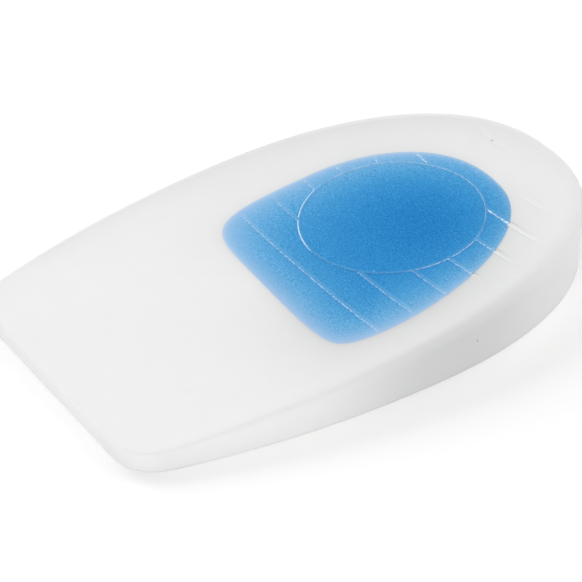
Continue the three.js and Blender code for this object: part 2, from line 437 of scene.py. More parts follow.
def pad_outline(pad):
    """The pad seen from above, counterclockwise from the middle of its front edge."""
    front_y = -pad.length / 2
    corner_y = front_y + pad.front_corner
    side_end = half_width(pad, corner_y)
    sharp_corner = np.array([half_width(pad, front_y), front_y])
    corner_start = np.array([sharp_corner[0] - pad.front_corner, front_y])
    corner_end = np.array([side_end, corner_y])
    start_handle = corner_start + (sharp_corner - corner_start) * CORNER_PULL
    end_handle = corner_end + (sharp_corner - corner_end) * CORNER_PULL
    corner = bezier(corner_start, start_handle, end_handle, corner_end)
    side_y = np.linspace(corner_y, pad.widest_y, CURVE_SAMPLES)
    side = np.column_stack([half_width(pad, side_y), side_y])
    turn = np.linspace(0, math.pi / 2, CURVE_SAMPLES)
    power = 2 / pad.heel_power
    heel_x = pad.full_width / 2 * np.clip(np.cos(turn), 0, 1) ** power
    heel_y = pad.widest_y + (pad.length / 2 - pad.widest_y) * np.sin(turn) ** power
    heel = np.column_stack([heel_x, heel_y])
    right = evenly_spaced(np.vstack([[0, front_y], corner, side[1:], heel[1:]]), OUTLINE_STEPS // 2 + 1)
    left = right[-2:0:-1] * (-1, 1)
    return np.vstack([right, left])


def insert_outline():
    """The border of the insert seen from above, counterclockwise."""
    pieces = []
    for start, end in zip(INSERT_OUTLINE, INSERT_OUTLINE[1:] + INSERT_OUTLINE[:1]):
        leave, arrive = math.radians(start.heading), math.radians(end.heading)
        start_handle = (start.x + start.after * math.cos(leave), start.y + start.after * math.sin(leave))
        end_handle = (end.x - end.before * math.cos(arrive), end.y - end.before * math.sin(arrive))
        controls = np.array([(start.x, start.y), start_handle, end_handle, (end.x, end.y)]) * MM
        pieces.append(bezier(*controls)[:-1])
    return np.vstack(pieces)


def insert_centre(insert):
    return np.array([insert.centre_x, insert.centre_y])


def insert_border(insert, rim):
    """Points of the insert's border, seen from its centre in the directions of the rim's points."""
    centre = insert_centre(insert)
    to_rim = rim - centre
    directions = np.arctan2(to_rim[:, 1], to_rim[:, 0])
    outward = insert_outline() - centre
    angles = np.arctan2(outward[:, 1], outward[:, 0])
    order = np.argsort(angles)
    lengths = np.linalg.norm(outward, axis=1)
    radius = np.interp(directions, angles[order], lengths[order], period=2 * math.pi)
    return centre + radius[:, None] * np.column_stack([np.cos(directions), np.sin(directions)])


def moved_out(outline, distance):
    """A counterclockwise outline moved outwards; a negative distance moves it inwards."""
    along = np.roll(outline, -1, axis=0) - np.roll(outline, 1, axis=0)
    outward = np.column_stack([along[:, 1], -along[:, 0]])
    outward /= np.linalg.norm(outward, axis=1)[:, None]
    return outline + outward * np.reshape(distance, (-1, 1))


def at_height(points, height):
    return np.column_stack([points, np.broadcast_to(height, len(points))])


class Skin:
    """Rings of equal numbers of points that become the closed skin of a piece."""

    def __init__(self):
        self.rings = []
        self.values = {}

    def add(self, ring, **values):
        self.rings.append(ring)
        for name, value in values.items():
            self.values.setdefault(name, []).append(np.broadcast_to(value, len(ring)))

    def mesh(self, name):
        """The mesh through all rings in order, with a fan over the first and the last ring."""
        count = len(self.rings[0])
        cap_points = [self.rings[0].mean(axis=0), self.rings[-1].mean(axis=0)]
        points = np.vstack(self.rings + cap_points)
        step = np.arange(count)
        ahead = (step + 1) % count
        starts = count * np.arange(len(self.rings) - 1)[:, None]
        corners = (starts + step, starts + ahead, starts + count + ahead, starts + count + step)
        quads = np.stack(corners, axis=-1).reshape(-1, 4)
        first_cap, last_cap = len(points) - 2, len(points) - 1
        last_start = count * (len(self.rings) - 1)
        first_fan = np.column_stack([np.full(count, first_cap), ahead, step])
        last_fan = np.column_stack([np.full(count, last_cap), last_start + step, last_start + ahead])
        mesh = bpy.data.meshes.new(name)
        mesh.from_pydata(points.tolist(), [], quads.tolist() + first_fan.tolist() + last_fan.tolist())
        mesh.validate()
        for value_name, rows in self.values.items():
            attribute = mesh.attributes.new(value_name, "FLOAT", "POINT")
            cap_values = [rows[0].mean(), rows[-1].mean()]
            values = np.concatenate([*rows, cap_values])
            attribute.data.foreach_set("value", values.astype(np.float32))
        mesh.shade_smooth()
        mesh.set_sharp_from_angle(angle=SHARP_ANGLE)
        return mesh


def rim_rings(pad):
    """Rings from the base up the wall and over the rounded rim, and the rim's inner edge from above."""
    outline = pad_outline(pad)
    height = rim_height(pad, outline[:, 1])
    rings = []
    for step in range(BASE_STEPS):
        turn = math.pi / 2 * step / BASE_STEPS
        inset = moved_out(outline, -pad.base_round * (1 - math.sin(turn)))
        rings.append(at_height(inset, pad.base_round * (1 - math.cos(turn))))
    radius = pad.rim_round * height
    lean = pad.wall_lean * height
    foot = at_height(outline, pad.base_round)
    leaning = moved_out(outline, -lean)
    shoulder = at_height(leaning, top_height(pad, leaning) - radius)
    for share in np.linspace(0, 1, WALL_RINGS, endpoint=False):
        rings.append(foot + (shoulder - foot) * share)
    for turn in np.linspace(0, math.pi / 2, RIM_STEPS + 1):
        rim = moved_out(outline, -lean - radius * (1 - math.cos(turn)))
        rings.append(at_height(rim, top_height(pad, rim) - radius * (1 - math.sin(turn))))
    return rings, rim


def on_side(insert, border, side):
    """1 where a point of the border lies on a side of the insert, and 0 well away from it."""
    outward = border - insert_centre(insert)
    turn = math.radians(side.direction)
    facing = outward @ (math.cos(turn), math.sin(turn)) / np.linalg.norm(outward, axis=1)
    return ramp(facing, side.start, side.full)


def underside(pad, insert, border, share):
    """Points of the insert's bowl-shaped underside at a share of the way from centre to border."""
    centre = insert_centre(insert)
    x, y = border[:, 0], border[:, 1]
    along = y * math.cos(insert.heel_turn) + x * math.sin(insert.heel_turn)
    to_heel = ramp(along, insert.heel_start, insert.heel_end)
    lip = insert.lip + insert.heel_lip * to_heel**HEEL_LIP_POWER
    lip = lip - insert.corner_lip * on_side(insert, border, CORNER_SIDE)
    lip_height = top_height(pad, border) - lip
    power = insert.bowl_power + insert.front_power * on_side(insert, border, FRONT_SIDE)
    height = insert.floor + (lip_height - insert.floor) * share**power
    return at_height(centre + (border - centre) * share, height)


def wall_shade(pad, points, up):
    """Painted shade of the wall; up is the share of the way from the base to the rim."""
    x, y = np.abs(points[:, 0]), points[:, 1]
    beside_insert = np.exp(-((np.abs(y - WALL_SHADE_Y) / WALL_SHADE_REACH) ** WALL_SHADE_POWER))
    to_front = ramp(y, FRONT_SHADE_START, FRONT_SHADE_FULL)
    inset = pad.front_corner / 3  # from the sharp corner to the middle of the rounded one
    to_corner = np.hypot(x - pad.front_width / 2 + inset, y + pad.length / 2 - inset)
    corner = CORNER_SHADE * np.exp(-((to_corner / CORNER_SHADE_REACH) ** 2))
    return WALL_SHADE * (1 + UPPER_WALL_SHADE * up) * beside_insert + FRONT_SHADE * to_front + corner


def top_shade(points, to_insert, to_rim):
    """Painted shade of the white top at given distances from the insert and from the rim."""
    x, y = points[:, 0], points[:, 1]
    along = np.exp(-(((y - WALL_SHADE_Y) / NARROW_SIDE_REACH) ** 2))
    narrow_side = ramp(x, 0, NARROW_SIDE_X)
    narrow = NARROW_SHADE * along * narrow_side
    rim_reach = RIM_SHADE_REACH + (NARROW_RIM_REACH - RIM_SHADE_REACH) * narrow_side
    rim_shade = RIM_SHADE + (NARROW_RIM_SHADE - RIM_SHADE) * narrow_side
    insert = (TOP_SHADE + narrow) * np.exp(-to_insert / TOP_SHADE_REACH)
    seam = SEAM_SHADE * np.exp(-to_insert / SEAM_SHADE_REACH)
    behind_front = ramp(y, RIM_SHADE_START, RIM_SHADE_FULL)
    return insert + seam + rim_shade * behind_front * np.exp(-to_rim / rim_reach)


def pad_body_mesh(settings):
    pad, insert = settings.pad, settings.insert
    rings, rim = rim_rings(pad)
    border = insert_border(insert, rim)
    reach = np.linalg.norm(rim - border, axis=1)
    wall_end = BASE_STEPS + WALL_RINGS
    skin = Skin()
    for index, ring in enumerate(rings):
        up = ramp(index, BASE_STEPS, wall_end)
        over_rim = ramp(index, wall_end, wall_end + RIM_STEPS)
        # painted shade of the wall, handing over across the rim to the painted shade of the top
        shade = wall_shade(pad, ring, up) * (1 - over_rim) + top_shade(ring, reach, 0) * over_rim
        skin.add(ring, **{PAINTED_SHADE: shade, SEAM_DISTANCE: reach})
    for share in np.linspace(0, 1, TOP_RINGS + 1)[1:]:
        points = rim + (border - rim) * share
        shade = top_shade(points, reach * (1 - share), reach * share)
        values = {PAINTED_SHADE: shade, SEAM_DISTANCE: reach * (1 - share)}
        skin.add(at_height(points, top_height(pad, points)), **values)
    roomy_border = moved_out(border, insert.seam_gap)
    below = (0, 0, insert.seam_gap)
    values = {PAINTED_SHADE: top_shade(border, 0, reach), SEAM_DISTANCE: 0.0}
    for share in np.linspace(1, 0, INSERT_RINGS // 2, endpoint=False):
        skin.add(underside(pad, insert, roomy_border, share) - below, **values)
    return skin.mesh("white_wedge")


def soft_insert_mesh(settings):
    pad, insert = settings.pad, settings.insert
    rim = rim_rings(pad)[1]
    border = insert_border(insert, rim)
    centre = insert_centre(insert)
    shares = 1 - np.linspace(1, 0, INSERT_RINGS + 1)[1:] ** BORDER_CROWDING
    hidden = dict.fromkeys(CARRIED, 0.0)
    skin = Skin()
    for share in shares[::2]:
        skin.add(underside(pad, insert, border, share), **hidden)
    skin.add(underside(pad, insert, border, 1.0), **hidden)
    reach = np.linalg.norm(border - centre, axis=1)
    dark_side = on_side(insert, border, DARK_SIDE)
    for share in shares[::-1]:
        points = centre + (border - centre) * share
        top = top_height(pad, points)
        depth = top - underside(pad, insert, border, share)[:, 2]
        from_border = reach * (1 - share)
        # painted shade of the gel on its dark side
        shade = GEL_SHADE * dark_side * np.exp(-from_border / GEL_SHADE_REACH)
        seam = from_border + SEAM_SHIFT * dark_side
        skin.add(at_height(points, top), **{GEL_DEPTH: depth, SEAM_DISTANCE: seam, PAINTED_SHADE: shade})
    return skin.mesh("blue_insert")


# Nodes


class Wire:
    """One output of a node. Arithmetic on wires adds Math nodes to their graph."""

    def __init__(self, graph, socket):
        self.graph = graph
        self.socket = socket

    def __add__(self, other):
        return self.graph.math("ADD", self, other)

    def __radd__(self, other):
        return self.graph.math("ADD", other, self)

    def __sub__(self, other):
        return self.graph.math("SUBTRACT", self, other)

    def __rsub__(self, other):
        return self.graph.math("SUBTRACT", other, self)

    def __mul__(self, other):
        return self.graph.math("MULTIPLY", self, other)

    def __rmul__(self, other):
        return self.graph.math("MULTIPLY", other, self)

    def __truediv__(self, other):
        return self.graph.math("DIVIDE", self, other)

    def __pow__(self, other):
        return self.graph.math("POWER", self, other)

    def __lt__(self, other):
        return self.graph.math("LESS_THAN", self, other)

    def __gt__(self, other):
        return self.graph.math("GREATER_THAN", self, other)


# Colour sockets of the Mix node, which has several sockets of the same name
MIX_FIRST = 6
MIX_SECOND = 7
MIX_RESULT = 2


class Graph:
    """A node tree that is written as expressions."""

    def __init__(self, tree):
        self.tree = tree
        self.tree.nodes.clear()

    def node(self, kind, settings=None, inputs=None, output=0):
        """Add a node with its settings and the values or wires of its sockets; give one of its outputs."""
        node = self.tree.nodes.new(kind)
        for name, value in (settings or {}).items():
            setattr(node, name, value)
        for name, value in (inputs or {}).items():
            wires = value if isinstance(value, list) else [value]
            if isinstance(wires[0], Wire):
                for wire in wires:
                    self.tree.links.new(wire.socket, node.inputs[name])
            else:
                node.inputs[name].default_value = value
        return Wire(self, node.outputs[output]) if node.outputs else None

    def other(self, wire, output):
        """Another output of the node that a wire comes from."""
        return Wire(self, wire.socket.node.outputs[output])

    def math(self, operation, *operands):
        return self.node("ShaderNodeMath", {"operation": operation}, dict(enumerate(operands)))

    def smooth(self, value, start, full):
        """0 up to the start, 1 from where it is full, and a soft step between; it may run downwards."""
        inputs = {"Value": value, "From Min": start, "From Max": full}
        return self.node("ShaderNodeMapRange", {"interpolation_type": "SMOOTHSTEP"}, inputs)

    def mix(self, factor, first, second):
        settings = {"data_type": "RGBA", "clamp_factor": True}
        inputs = {"Factor": factor, MIX_FIRST: first, MIX_SECOND: second}
        return self.node("ShaderNodeMix", settings, inputs, MIX_RESULT)

    def scaled(self, vector, factor):
        return self.node("ShaderNodeVectorMath", {"operation": "SCALE"}, {0: vector, "Scale": factor})

    def apart(self, place, point):
        """Distance of a place from a fixed point."""
        ends = {0: place, 1: point}
        return self.node("ShaderNodeVectorMath", {"operation": "DISTANCE"}, ends, output="Value")

    def vector(self, x, y, z):
        return self.node("ShaderNodeCombineXYZ", None, {"X": x, "Y": y, "Z": z})

    def fading(self, distance, reach):
        """1 at no distance, about a third at the reach, and hardly anything far beyond it."""
        return self.math("EXPONENT", distance / -reach)

    def attribute(self, name):
        return self.node("ShaderNodeAttribute", {"attribute_name": name}, output="Fac")

    def place(self):
        return self.node("ShaderNodeTexCoord", output="Object")

    def noise(self, place, size, detail=2.0):
        """Soft random values from 0 to 1 in patches of about the given size."""
        inputs = {"Vector": place, "Scale": 1 / size, "Detail": detail}
        return self.node("ShaderNodeTexNoise", {"normalize": True}, inputs, output="Fac")

    def bump(self, height, strength):
        inputs = {"Strength": strength, "Distance": GRAIN_HEIGHT, "Height": height}
        return self.node("ShaderNodeBump", None, inputs)

    def dots(self, place, spacing, radius, share):
        """1 inside small round dots, in the given share of the cells that fill the space."""
        inputs = {"Vector": place, "Scale": 1 / spacing}
        distance = self.node("ShaderNodeTexVoronoi", {"feature": "F1"}, inputs, output="Distance")
        cell = self.node("ShaderNodeSeparateColor", None, {0: self.other(distance, "Color")}, output="Red")
        edge = radius / spacing
        return (1 - self.smooth(distance, edge / 2, edge)) * (cell < share)


def colour(value):
    return (*value, 1.0)


def new_material(name):
    material = bpy.data.materials.new(name)
    material.use_nodes = True
    return material, Graph(material.node_tree)


def finish_material(graph, fixed, varying):
    """Add the shader with its fixed values and varying inputs, and the output."""
    shader = graph.node("ShaderNodeBsdfPrincipled", None, {**fixed, **varying})
    graph.node("ShaderNodeOutputMaterial", None, {"Surface": shader})


def painted_rib_light_and_shade(graph):
    """How much painted light makes the white ribs paler and painted shade greyer than the rim they stand
    on.
    """
    across = graph.attribute(ACROSS)
    shown = graph.attribute(SHOWN)
    by_seam = graph.fading(graph.attribute(SEAM_DISTANCE), WHITE_SEAM_REACH)
    top = graph.smooth(across, *WHITE_TOP)
    front_edge = graph.smooth(across, *WHITE_FRONT_EDGE)
    heel_edge = graph.smooth(across, *WHITE_HEEL_EDGE)
    edges = front_edge + heel_edge * (1 - by_seam)
    painted_light = WHITE_TOP_LIGHT * shown * (top + front_edge) + WHITE_EDGE_LIGHT * edges
    return painted_light, WHITE_HEEL_SHADE * shown * heel_edge * by_seam


def white_silicone(looks, name, scattering, on_ribs=False):
    """The firm silicone with painted shade; scattering is the share of light spreading below its surface.
    """
    material, graph = new_material(name)
    place = graph.place()
    large = graph.noise(place, CLOUD_SIZE, FINE_DETAIL)
    small = graph.noise(place, SMALL_CLOUD_SIZE)
    cloud = large * (1 - SMALL_CLOUD_SHARE) + small * SMALL_CLOUD_SHARE
    clouded = graph.mix(graph.smooth(cloud, *CLOUD_RANGE), colour(looks.white), colour(looks.white_shade))
    # painted shade that the piece carries; the real dark specks are added to it
    shade = graph.attribute(PAINTED_SHADE)
    for speck in SPECKS:
        distance = graph.apart(place, (speck.x * MM, speck.y * MM, speck.z * MM))
        radius = speck.radius * MM
        shade = shade + SPECK_DARKNESS * (1 - graph.smooth(distance, SPECK_CORE * radius, radius))
    # painted light on the tops and front edges of the white ribs, painted shade on their heel edges by the
    # seam
    if on_ribs:
        painted_light, painted_rib_shade = painted_rib_light_and_shade(graph)
        clouded = graph.mix(painted_light, clouded, (1.0, 1.0, 1.0, 1.0))
        shade = shade + painted_rib_shade
    base = graph.mix(shade, clouded, colour(looks.shade))
    grain = graph.noise(place, WHITE_GRAIN_SIZE, FINE_DETAIL)
    roughness = WHITE_ROUGHNESS + WHITE_ROUGHNESS_GRAIN * grain
    fixed = {
        "IOR": SILICONE_IOR,
        "Specular IOR Level": 0.15,
        "Subsurface Weight": scattering,
        "Subsurface Radius": (1.0, 0.95, 0.9),
        "Subsurface Scale": SCATTERING_DEPTH,
    }
    bump = graph.bump(grain, WHITE_BUMP)
    finish_material(graph, fixed, {"Base Color": base, "Roughness": roughness, "Normal": bump})
    return material


def gel_colour(graph, looks, grain):
    """Colour of the soft silicone: deeper where it is thick, and blended with the white at its border."""
    clear_depth = graph.attribute(GEL_DEPTH) / MM
    speckle = (grain - 0.5) * graph.smooth(clear_depth, *GRAIN_DEPTHS)
    depth = clear_depth - GRAIN_IN_DEPTH * speckle
    channels = []
    for pale, rate in zip(looks.pale_blue, looks.absorption):
        channels.append(pale * graph.math("EXPONENT", depth * -rate))
    gel = graph.node("ShaderNodeCombineColor", None, dict(enumerate(channels)))
    blended = SEAM_BLEND * graph.fading(graph.attribute(SEAM_DISTANCE), SEAM_BLEND_REACH)
    # lighter and darker grain, times what the painted shade leaves
    lit = (1 + GRAIN_IN_LIGHT * speckle) * (1 - graph.attribute(PAINTED_SHADE))
    return graph.mix(blended, graph.scaled(gel, lit), colour(looks.white_shade))


def blue_silicone(looks):
    material, graph = new_material("blue_silicone")
    place = graph.place()
    grain = graph.noise(place, BLUE_GRAIN_SIZE, FINE_DETAIL)
    gel = gel_colour(graph, looks, grain)
    bubbles = 0.0
    for kind in BUBBLES:
        dots = graph.dots(place, kind.spacing * MM, kind.radius * MM, kind.share)
        bubbles = bubbles + dots * kind.strength
    base = graph.mix(bubbles, gel, colour(looks.bubble))
    roughness = BLUE_ROUGHNESS + BLUE_ROUGHNESS_GRAIN * grain
    fixed = {"IOR": SILICONE_IOR, "Specular IOR Level": 0.05}
    bump = graph.bump(grain, BLUE_BUMP)
    finish_material(graph, fixed, {"Base Color": base, "Roughness": roughness, "Normal": bump})
    return material


def blue_relief(looks):
    """The soft silicone of the ring and ribs, with painted highlights on their edges in patches."""
    material, graph = new_material("blue_silicone_relief")
    place = graph.place()
    grain = graph.noise(place, BLUE_GRAIN_SIZE, FINE_DETAIL)
    gel = gel_colour(graph, looks, grain)
    across = graph.attribute(ACROSS)
    paler_top = BLUE_LIGHT + BLUE_TOP_LIGHT * graph.smooth(across, *BLUE_TOP)
    # painted light on the heel or inner edge, which lies in shade
    paler_edge = BLUE_HEEL_LIGHT * graph.smooth(across, *BLUE_HEEL_EDGE)
    glint = graph.attribute(GLINT)
    by_seam = graph.fading(graph.attribute(SEAM_DISTANCE), SEAM_GLINT_REACH)
    # painted highlights: the outer edge where the glint is above 0, the inner edge where it is below, wider
    # by the seam
    spread = GLINT_SPREAD * glint * (1 + SEAM_GLINT_SPREAD * by_seam)
    outer = graph.smooth(across + spread, *OUTER_GLINT) * graph.math("MAXIMUM", glint, 0.0)
    inner = graph.smooth(across, *INNER_GLINT) * graph.math("MINIMUM", glint, 0.0)
    dull = 1 - graph.smooth(graph.noise(place, PATCH_SIZE), *PATCH_RANGE)
    patches = 1 - graph.attribute(PATCHY) * dull
    painted_highlight = GLINT_LIGHT * patches * (outer - inner)
    base = graph.mix(paler_top + paler_edge + painted_highlight, gel, colour(looks.bubble))
    roughness = BLUE_ROUGHNESS + BLUE_ROUGHNESS_GRAIN * grain
    fixed = {"IOR": SILICONE_IOR, "Specular IOR Level": 0.1}
    finish_material(graph, fixed, {"Base Color": base, "Roughness": roughness})
    return material


# Moulded relief as geometry nodes


def new_tree(name, inputs):
    """A geometry node graph with named inputs; gives the graph and the wires of its inputs."""
    tree = bpy.data.node_groups.new(name, "GeometryNodeTree")
    graph = Graph(tree)
    tree.interface.new_socket("Geometry", in_out="OUTPUT", socket_type="NodeSocketGeometry")
    for input_name, kind in inputs.items():
        tree.interface.new_socket(input_name, in_out="INPUT", socket_type=f"NodeSocket{kind}")
    entry = graph.node("NodeGroupInput")
    return graph, {input_name: graph.other(entry, input_name) for input_name in inputs}


def finish_tree(graph, geometry):
    graph.node("NodeGroupOutput", None, {"Geometry": geometry})
    return graph.tree


def plan_place(graph):
    """The x and y of each point."""
    x = graph.node("ShaderNodeSeparateXYZ", None, {0: graph.node("GeometryNodeInputPosition")}, "X")
    return x, graph.other(x, "Y")


def stored(graph, name):
    return graph.node("GeometryNodeInputNamedAttribute", {"data_type": "FLOAT"}, {"Name": name})


def store(graph, geometry, name, value):
    inputs = {"Geometry": geometry, "Name": name, "Value": value}
    return graph.node("GeometryNodeStoreNamedAttribute", {"data_type": "FLOAT", "domain": "POINT"}, inputs)


def drop_onto(graph, surface, value_name=GEL_DEPTH):
    """A ray from high above each point straight down onto a piece, which also reads a value there."""
    x, y = plan_place(graph)
    inputs = {
        "Target Geometry": graph.node("GeometryNodeObjectInfo", None, {"Object": surface}, "Geometry"),
        "Attribute": stored(graph, value_name),
        "Source Position": graph.vector(x, y, RAY_HEIGHT),
        "Ray Direction": (0.0, 0.0, -1.0),
        "Ray Length": 2 * RAY_HEIGHT,
    }
    return graph.node("GeometryNodeRaycast", {"data_type": "FLOAT"}, inputs, "Is Hit")


def ridge_tree():
    """Lays curves on a piece and sweeps a low rounded ridge along them."""
    sizes = ("Width", "Height", "Edge", "Taper")
    inputs = {"Curve": "Geometry", "Surface": "Object", **{size: "Float" for size in sizes}}
    graph, given = new_tree("Ridge On Surface", inputs)
    hit = drop_onto(graph, given["Surface"])
    facing = {"Curve": given["Curve"], "Normal": graph.other(hit, "Hit Normal")}
    informed = graph.node("GeometryNodeSetCurveNormal", {"mode": "FREE"}, facing)
    for name in CARRIED:
        below = graph.other(drop_onto(graph, given["Surface"], name), "Attribute")
        informed = store(graph, informed, name, below)
    shown = graph.smooth(stored(graph, FROM_END) / given["Taper"], 0.0, 1.0) * stored(graph, RISE)
    sunk = graph.scaled(graph.other(hit, "Hit Normal"), (shown - 1) * given["Height"])
    informed = store(graph, informed, SHOWN, shown)
    place = {"Geometry": informed, "Position": graph.other(hit, "Hit Position"), "Offset": sunk}
    laid = graph.node("GeometryNodeSetPosition", None, place)
    section_sizes = {
        "Bottom Width": given["Width"] + 2 * given["Height"],
        "Top Width": given["Width"] - 2 * given["Height"],
        "Height": 2 * given["Height"],
        "Offset": 0.0,
    }
    section = graph.node("GeometryNodeCurvePrimitiveQuadrilateral", {"mode": "TRAPEZOID"}, section_sizes)
    corners = {"Curve": section, "Count": EDGE_STEPS, "Radius": given["Edge"], "Limit Radius": True}
    rounded = graph.node("GeometryNodeFilletCurve", {"mode": "POLY"}, corners)
    sideways = plan_place(graph)[0]
    to_front = sideways / (given["Width"] * -0.5)  # the swept section has its left on the heel side
    marked = store(graph, rounded, ACROSS, to_front)
    quarter_turn = (0.0, 0.0, -math.pi / 2)  # the sweep takes the section's x axis as up
    turned = graph.node("GeometryNodeTransform", None, {"Geometry": marked, "Rotation": quarter_turn})
    sweep = {"Curve": laid, "Profile Curve": turned, "Fill Caps": True}
    swept = graph.node("GeometryNodeCurveToMesh", None, sweep)
    return finish_tree(graph, graph.node("GeometryNodeSetShadeSmooth", None, {"Geometry": swept}))


def ring_curve(graph, given, out_x, out_y):
    """The ring as a flat oval with its painted highlight; out_x and out_y are 1 at its right and heel end.
    """
    circle = graph.node("GeometryNodeCurvePrimitiveCircle", None, {"Resolution": RING_STEPS, "Radius": 1.0})
    middle = graph.vector(given["Ring X"], given["Ring Y"], 0.0)
    radii = graph.vector(given["Ring Radius X"], given["Ring Radius Y"], 1.0)
    placed = {"Geometry": circle, "Translation": middle, "Scale": radii}
    oval = graph.node("GeometryNodeTransform", None, placed)
    # strength of the painted highlight round the ring
    painted_highlight = -INNER_RING_GLINT
    for glint in RING_GLINTS:
        turn = math.radians(glint.direction)
        facing = out_x * math.cos(turn) + out_y * math.sin(turn)
        painted_highlight = painted_highlight + glint.strength * graph.smooth(facing, glint.start, glint.full)
    for name, value in ((GLINT, painted_highlight), (FROM_END, 1.0), (RISE, 1.0), (PATCHY, RING_PATCHES)):
        oval = store(graph, oval, name, value)
    return oval


def relief_tree(name, ridge, with_ring):
    """Ribs on one piece: those over the insert, with the ring that ends them, or those beside it."""
    ring_sizes = ("Ring X", "Ring Y", "Ring Radius X", "Ring Radius Y", "Ring Width")
    sizes = (*ring_sizes, "Rib Width", "Height", "Edge", "Taper", "Step")
    objects = {"Surface": "Object", "Insert": "Object", "Material": "Material"}
    graph, given = new_tree(name, {"Rows": "Geometry", **objects, **{size: "Float" for size in sizes}})

    def ridges(curve, width):
        inputs = {size: given[size] for size in ("Surface", "Height", "Edge", "Taper")}
        inputs |= {"Curve": curve, "Width": width}
        return graph.node("GeometryNodeGroup", {"node_tree": ridge}, inputs)

    lines = graph.node("GeometryNodeMeshToCurve", None, {"Mesh": given["Rows"]})
    spacing = {"Curve": lines, "Length": given["Step"]}
    dotted = graph.node("GeometryNodeResampleCurve", {"mode": "LENGTH"}, spacing)
    travelled = graph.node("GeometryNodeSplineParameter", output="Length")
    whole = graph.node("GeometryNodeSplineLength", output="Length")
    measured = store(graph, dotted, FROM_END, graph.math("MINIMUM", travelled, whole - travelled))
    measured = store(graph, measured, PATCHY, RIB_PATCHES)
    wires = graph.node("GeometryNodeCurveToMesh", None, {"Curve": measured})
    x, y = plan_place(graph)
    out_x = (x - given["Ring X"]) / given["Ring Radius X"]
    out_y = (y - given["Ring Y"]) / given["Ring Radius Y"]
    over_insert = drop_onto(graph, given["Insert"])
    in_ring = out_x**2 + out_y**2 < 1
    dropped = (1 - over_insert) + in_ring if with_ring else over_insert
    cut = {"Geometry": wires, "Selection": dropped > 0.5}
    kept = graph.node("GeometryNodeDeleteGeometry", {"domain": "POINT"}, cut)
    parts = [ridges(graph.node("GeometryNodeMeshToCurve", None, {"Mesh": kept}), given["Rib Width"])]
    if with_ring:
        parts.append(ridges(ring_curve(graph, given, out_x, out_y), given["Ring Width"]))
    joined = graph.node("GeometryNodeJoinGeometry", None, {"Geometry": parts})
    realized = graph.node("GeometryNodeRealizeInstances", None, {"Geometry": joined})
    coat = {"Geometry": realized, "Material": given["Material"]}
    return finish_tree(graph, graph.node("GeometryNodeSetMaterial", None, coat))


def rib_rows():
    """One straight edge for each rib, at height zero."""
    points = []
    for rib in RIBS:
        points += [(rib.left * MM, rib.y * MM, 0), (rib.right * MM, rib.y * MM, 0)]
    edges = [(2 * row, 2 * row + 1) for row in range(len(RIBS))]
    mesh = bpy.data.meshes.new("rib_rows")
    mesh.from_pydata(points, edges, [])
    for name in (RISE, GLINT):
        values = np.repeat([getattr(rib, name) for rib in RIBS], 2).tolist()  # for both ends of a rib
        mesh.attributes.new(name, "FLOAT", "POINT").data.foreach_set("value", values)
    return mesh


def run_tree(piece, tree, values):
    """Run a node tree on a piece, with its inputs by name, and keep the result as a plain mesh."""
    modifier = piece.modifiers.new(tree.name, "NODES")
    modifier.node_group = tree
    for socket in tree.interface.items_tree:
        if socket.in_out == "INPUT" and socket.name in values:
            modifier[socket.identifier] = values[socket.name]
    depsgraph = bpy.context.evaluated_depsgraph_get()
    evaluated = piece.evaluated_get(depsgraph)
    mesh = bpy.data.meshes.new_from_object(evaluated, preserve_all_data_layers=True, depsgraph=depsgraph)
    piece.modifiers.remove(modifier)
    rows = piece.data
    piece.data = mesh
    bpy.data.meshes.remove(rows)
    mesh.name = piece.name
    if not mesh.polygons:
        raise RuntimeError(f"{piece.name}: the node tree made no faces")


# Pieces


def new_piece(name, mesh):
    piece = bpy.data.objects.new(name, mesh)
    bpy.context.scene.collection.objects.link(piece)
    return piece


def place_in_frame(piece, node):
    """Tie a finished piece to the pad's body, and hide the solid that it stands for."""
    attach(piece, BODY)
    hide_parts(node)


def make_relief(relief, name, surface_name, material, with_ring):
    """The relief on a piece that is already made; its sizes reach the node tree by their names."""
    piece = new_piece(name, rib_rows())
    tree = relief_tree(name.replace("_", " ").title(), ridge_tree(), with_ring)
    values = {
        "Surface": bpy.data.objects[surface_name],
        "Insert": bpy.data.objects["blue_insert"],
        "Material": material,
    }
    for prop in relief.bl_rna.properties:
        if prop.type == "FLOAT":
            values[prop.name] = getattr(relief, prop.identifier)
    if not with_ring:
        values |= {"Rib Width": relief.heel_rib_width, "Edge": relief.heel_edge, "Taper": relief.heel_taper}
    run_tree(piece, tree, values)
    return piece


class HEELPAD_OT_wedge(bpy.types.Operator):
    """Make the white wedge with its cup, rounded rim and recess"""

    bl_idname = "heelpad.wedge"
    bl_label = "Make Wedge"

    def execute(self, context):
        settings = context.scene.heel_pad
        piece = new_piece("white_wedge", pad_body_mesh(settings))
        piece.data.materials.append(white_silicone(settings.looks, "white_silicone", WEDGE_SCATTERING))
        place_in_frame(piece, "pad_body")
        return {"FINISHED"}


class HEELPAD_OT_insert(bpy.types.Operator):
    """Make the soft blue insert that fills the recess"""

    bl_idname = "heelpad.insert"
    bl_label = "Make Insert"

    def execute(self, context):
        settings = context.scene.heel_pad
        piece = new_piece("blue_insert", soft_insert_mesh(settings))
        piece.data.materials.append(blue_silicone(settings.looks))
        place_in_frame(piece, "soft_insert")
        return {"FINISHED"}


class HEELPAD_OT_insert_relief(bpy.types.Operator):
    """Make the ring and the ribs that are moulded on the insert"""

    bl_idname = "heelpad.insert_relief"
    bl_label = "Make Insert Relief"

    def execute(self, context):
        settings = context.scene.heel_pad
        # the relief's copy of the blue silicone carries painted highlights on its edges
        material = blue_relief(settings.looks)
        piece = make_relief(settings.relief, "insert_relief", "blue_insert", material, with_ring=True)
        place_in_frame(piece, "soft_insert")
        return {"FINISHED"}


